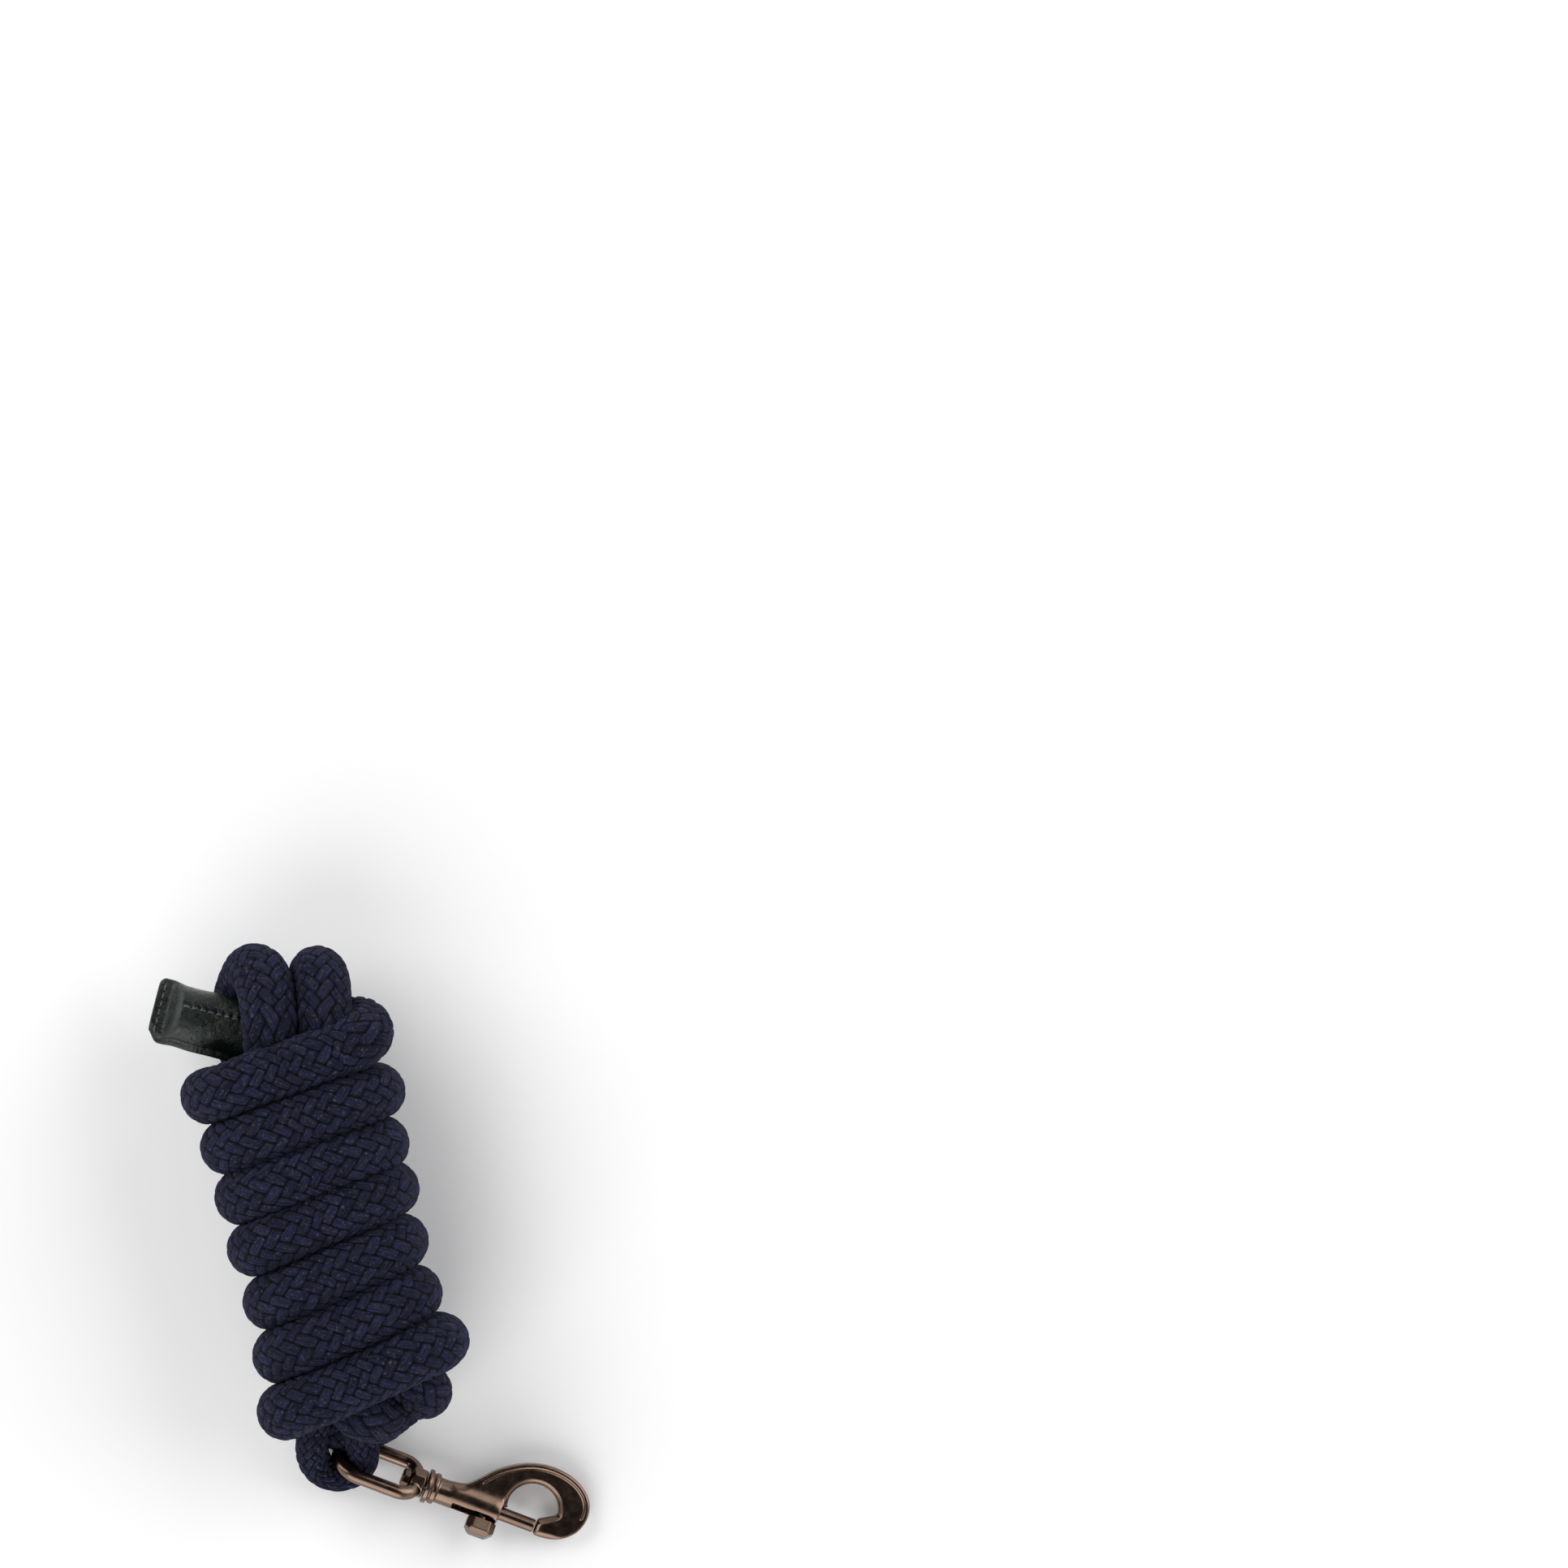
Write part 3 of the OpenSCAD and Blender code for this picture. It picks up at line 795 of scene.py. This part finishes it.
def add_braid_data(mesh, s, gap_shade, over, tone, around):
    """What the rope's material reads: where to paint shade in the yarn gaps, the upper yarn family, yarn tone
    and weave coordinates.
    """
    for name, values in (("gap_shade", gap_shade), ("over", over), ("tone", tone)):
        layer = mesh.attributes.new(name, "FLOAT", "POINT")
        layer.data.foreach_set("value", np.asarray(values, np.float32).ravel())
    i, k = np.meshgrid(np.arange(len(s) - 1), np.arange(around), indexing="ij")
    steps = np.stack([s[i], s[i], s[i + 1], s[i + 1]], axis=-1) / BRAID_PITCH
    theta = np.stack([k, k + 1, k + 1, k], axis=-1) / around
    weave = CARRIERS * np.stack([steps + theta, steps - theta], axis=-1).reshape(-1, 2)
    caps = np.zeros((len(mesh.loops) - len(weave), 2))
    uv = mesh.uv_layers.new(name="weave")
    uv.data.foreach_set("uv", np.concatenate([weave, caps]).astype(np.float32).ravel())


def add_rope():
    """The whole lead as one braided tube along its route, from the seizing to the inside of the sleeve."""
    points, radii, s = smooth_route(rope_stations(), ROUTE_STEP)
    normals, binormals = carried_frames(points)
    theta = np.arange(ROPE_AROUND) / ROPE_AROUND
    height, gap_shade, over, tone = braid(s[:, None], theta[None])
    turn = 2 * np.pi * theta[None]
    lumps = 0.011 * np.sin(s[:, None] / 3.7 + turn) + 0.009 * np.sin(s[:, None] / 6.1 - 2 * turn)
    radius = radii[:, None] * (1 + lumps) + RELIEF * (height + RELIEF_OUT)
    ring = np.cos(turn)[..., None] * normals[:, None] + np.sin(turn)[..., None] * binormals[:, None]
    verts = (points[:, None] + radius[..., None] * ring).reshape(-1, 3)
    faces = np.concatenate([ring_faces(len(points), ROPE_AROUND), end_caps(len(points), ROPE_AROUND)])
    rope = new_object("lead_rope", verts * MM, faces, rope_material())
    add_braid_data(rope.data, s, gap_shade, over, tone, ROPE_AROUND)
    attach(rope, "rope")
    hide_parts("rope_hank", "rope_left_bight", "rope_right_bight", "rope_eye", "rope_tail")
    return rope, points * MM, s[-1] * MM


def add_seizing(material):
    """Twine wound round both legs of the eye."""
    leg, twine_r, turns, length = 5.9, 0.62, 6, 7.2
    points_a_turn = 90
    r = EYE_R + twine_r
    tilt = math.radians(118.6)
    along = np.array([0, -math.sin(tilt), math.cos(tilt)])
    across = np.array([0, math.cos(tilt), math.sin(tilt)])
    perimeter = 2 * math.pi * r + 4 * leg
    path = []
    for d in np.linspace(0, perimeter * turns, points_a_turn * turns):
        q = d % perimeter
        if q < 2 * leg:
            x, y = q - leg, r
        elif q < 2 * leg + math.pi * r:
            a = (q - 2 * leg) / r
            x, y = leg + r * math.sin(a), r * math.cos(a)
        elif q < 4 * leg + math.pi * r:
            x, y = leg - (q - 2 * leg - math.pi * r), -r
        else:
            a = (q - 4 * leg - math.pi * r) / r
            x, y = -leg - r * math.sin(a), -r * math.cos(a)
        h = (d / (perimeter * turns) - 0.5) * length
        path.append(np.array(SEIZING_AT) + np.array([x, 0, 0]) + y * across + h * along)
    twine = sweep("seizing_twine", path, twine_r, 10, material)
    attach(twine, "rope")
    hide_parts("throat_seizing")


# ---------------------------------------------------------------- the leather sleeve

def in_sleeve(x, y, z):
    """Points of the sleeve's own frame, from its mouth to its flattened end, in the part's frame."""
    c, s = math.cos(math.radians(SLEEVE_TURN)), math.sin(math.radians(SLEEVE_TURN))
    spots = np.stack([x * c - y * s, x * s + y * c, z], axis=-1)
    return spots + np.array(SLEEVE_AT)


def sleeve_section(x, turn, scale):
    """The sleeve's outline at a station: round with a sewn lip, then pinched to a flat tab."""
    flat = smoothstep(31.5, 37.4, x)
    power = 0.8 - 0.3 * flat
    half_w = SLEEVE_R - 0.3 + 0.8 * flat
    half_h = SLEEVE_R - 0.9 + (3.1 - SLEEVE_R) * flat
    c, s = np.cos(turn), np.sin(turn)
    y = half_w * np.sign(s) * np.abs(s) ** power
    z = half_h * np.sign(c) * np.abs(c) ** power
    lip = np.exp(-(((turn - np.pi / 2) / 0.17) ** 4)) * (1 - 0.3 * flat)
    y = y + LIP_H * lip
    z = z + np.clip((turn - np.pi / 2) / 0.17, -1, 1) * -0.6 * lip * (1 - flat)
    dents = 0.22 * np.sin(x / 4.1 + 2 * turn) + 0.16 * np.sin(x / 2.3 - 3 * turn + 1)
    seam = 0.45 * np.exp(-(((turn + SEAM_TURN) * SLEEVE_R / 0.9) ** 2)) * (1 - flat)
    swell = 1 + (dents * (1 - flat) * 0.6 - seam) / SLEEVE_R
    corner = 1 - np.where(y > 0, 0.30 * smoothstep(36.5, 42, x) ** 2, 0.12 * smoothstep(39.5, 42, x) ** 2)
    holes = stitch_holes(x, turn, y, z)
    return y * swell * scale * corner, z * (swell - 0.07 * holes) * scale, holes


def stitch_holes(x, turn, y, z):
    """How far each point lies in one of the holes that the thread goes down, from 0 to 1: it dents the
    leather and places the painted shade in the holes.
    """
    between = (0.5 + 0.5 * np.cos(2 * np.pi * (x - 1.5) / STITCH_PITCH)) ** 3
    in_seam = np.exp(-(((turn + SEAM_TURN) * SLEEVE_R / 0.85) ** 2)) * (2 < x < 31)
    in_lip = np.exp(-(((y - SLEEVE_R - 1.1) / 0.5) ** 2)) * (z > 0) * (2 < x < 31)
    across = (0.5 + 0.5 * np.cos(2 * np.pi * y / STITCH_PITCH)) ** 4
    in_tab = np.exp(-(((x - TAB_ROW) / 0.5) ** 2)) * across * (z > 0) * (np.abs(y) < 9.4)
    return np.maximum(between * np.maximum(in_seam, in_lip), in_tab)


def add_sleeve(leather):
    """The leather sleeve: a shell with an inturned mouth, stations along it and a pinched end."""
    stations = [(5, 0.86), (0.4, 0.86), (0, 0.9), (0, 0.97)]
    stations += [(x, 1) for x in np.linspace(0.3, SLEEVE_L - 0.4, 130)]
    stations += [(SLEEVE_L - 0.1, 0.93), (SLEEVE_L, 0.8)]
    turn = np.linspace(-np.pi, np.pi, SLEEVE_AROUND, endpoint=False)
    rings, holes = [], []
    for x, scale in stations:
        y, z, hole_shade = sleeve_section(x, turn, scale)
        rings.append(in_sleeve(np.full(SLEEVE_AROUND, float(x)), y, z))
        holes.append(hole_shade)
    faces = np.concatenate([ring_faces(len(rings), SLEEVE_AROUND), end_caps(len(rings), SLEEVE_AROUND)])
    sleeve = new_object("tail_sleeve", np.concatenate(rings) * MM, faces, leather)
    # The hole mask goes to the leather material, which paints shade into the stitch holes.
    hole_shade_layer = sleeve.data.attributes.new("hole_shade", "FLOAT", "POINT")
    hole_shade_layer.data.foreach_set("value", np.concatenate(holes).astype(np.float32))
    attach(sleeve, "rope")
    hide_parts("leather_sleeve")
    return sleeve


def stitch(at, along, out, material):
    """One stitch: a short bow of thread that rises from its hole and dives into the next."""
    at, along, out = np.array(at, float), np.array(along, float), np.array(out, float)
    path = []
    for t in np.linspace(-1, 1, 9):
        path.append(at + along * 1.05 * t + out * (0.28 - 0.75 * t**4))
    spots = in_sleeve(*np.array(path).T)
    return sweep("stitch", spots, 0.36, 8, material)


def add_stitching(material):
    """The seam above, the row on the lip and the row across the flat end."""
    stitches = []
    out = (0, -math.sin(SEAM_TURN), math.cos(SEAM_TURN))
    for x in np.arange(3, 31, STITCH_PITCH):
        seam = SLEEVE_R - 0.55
        stitches.append(stitch((x, out[1] * seam, out[2] * seam), (1, 0, 0), out, material))
        stitches.append(stitch((x, SLEEVE_R + 1.1, 1.5), (1, 0, 0), (0, 0, 1), material))
    for y in np.arange(-7.5, 7.6, STITCH_PITCH):
        stitches.append(stitch((TAB_ROW, y, 1.85), (0, 1, 0), (0, 0, 1), material))
    thread = joined(stitches, "sleeve_thread")
    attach(thread, "rope")
    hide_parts("sleeve_stitching")
    return thread


# ---------------------------------------------------------------- the snap

def settle(piece, body, node):
    """Puts a piece of the snap on its body and in place of its CAD node."""
    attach(piece, body)
    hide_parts(node)


def add_snap():
    """All the snap's pieces, and the CAD spring's own material."""
    bronze = bronze_material("bronze_cast")
    # Darker copies of the same bronze, with painted shade: the rod and rivet a little darker, the stud more.
    turned = bronze_material("bronze_painted_shade_mild", 0.82)
    deep_shade_bronze = bronze_material("bronze_painted_shade_deep", 0.66)
    casting = cast_piece("snap_casting", body_shape, (-1, -8, -8), (61, 24.5, 8), 0.25, bronze)
    settle(casting, "snap", "snap_body")
    wire = cast_piece("eye_wire", eye_shape, (-37.5, -13, -13), (1, 13, 13), 0.22, bronze)
    settle(wire, "swivel", "swivel_eye")
    rivet = cast_piece("rivet_head", rivet_shape, (-11, -4.5, -4.5), (6, 4.5, 4.5), 0.16, turned)
    settle(rivet, "snap", "swivel_rivet")
    bar = cast_piece("bolt_bar", rod_shape, (18, -3.5, -3.5), (43, 3.5, 3.5), 0.18, turned)
    settle(bar, "bolt", "bolt_rod")
    stud = cast_piece("thumb_stud", knob_shape, (17, -14, -5), (30, 3, 9), 0.18, deep_shade_bronze)
    settle(stud, "bolt", "thumb_knob")
    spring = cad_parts["bolt_spring"]
    for slot in spring.material_slots:
        slot.material = steel_material()


add_camera()
add_world()
add_light("key", (-0.25, -0.75, 0.55), 2.6, 2.7, 46)
add_light("fill", (-0.75, 0.55, 0.7), 2.6, 2.4, 44)
add_light("side", (0.85, 0.35, 0.6), 2.6, 2.4, 42)
add_floor()
bpy.context.scene.view_settings.view_transform = "Standard"

rope, rope_path, rope_length = add_rope()
black_thread = thread_material("waxed_thread", (0.016, 0.017, 0.015), (0.13, 0.135, 0.115))
navy_twine = thread_material("seizing_twine", (0.007, 0.007, 0.011), (0.026, 0.027, 0.040))
add_seizing(navy_twine)
sleeve = add_sleeve(leather_material())
thread = add_stitching(black_thread)
add_snap()
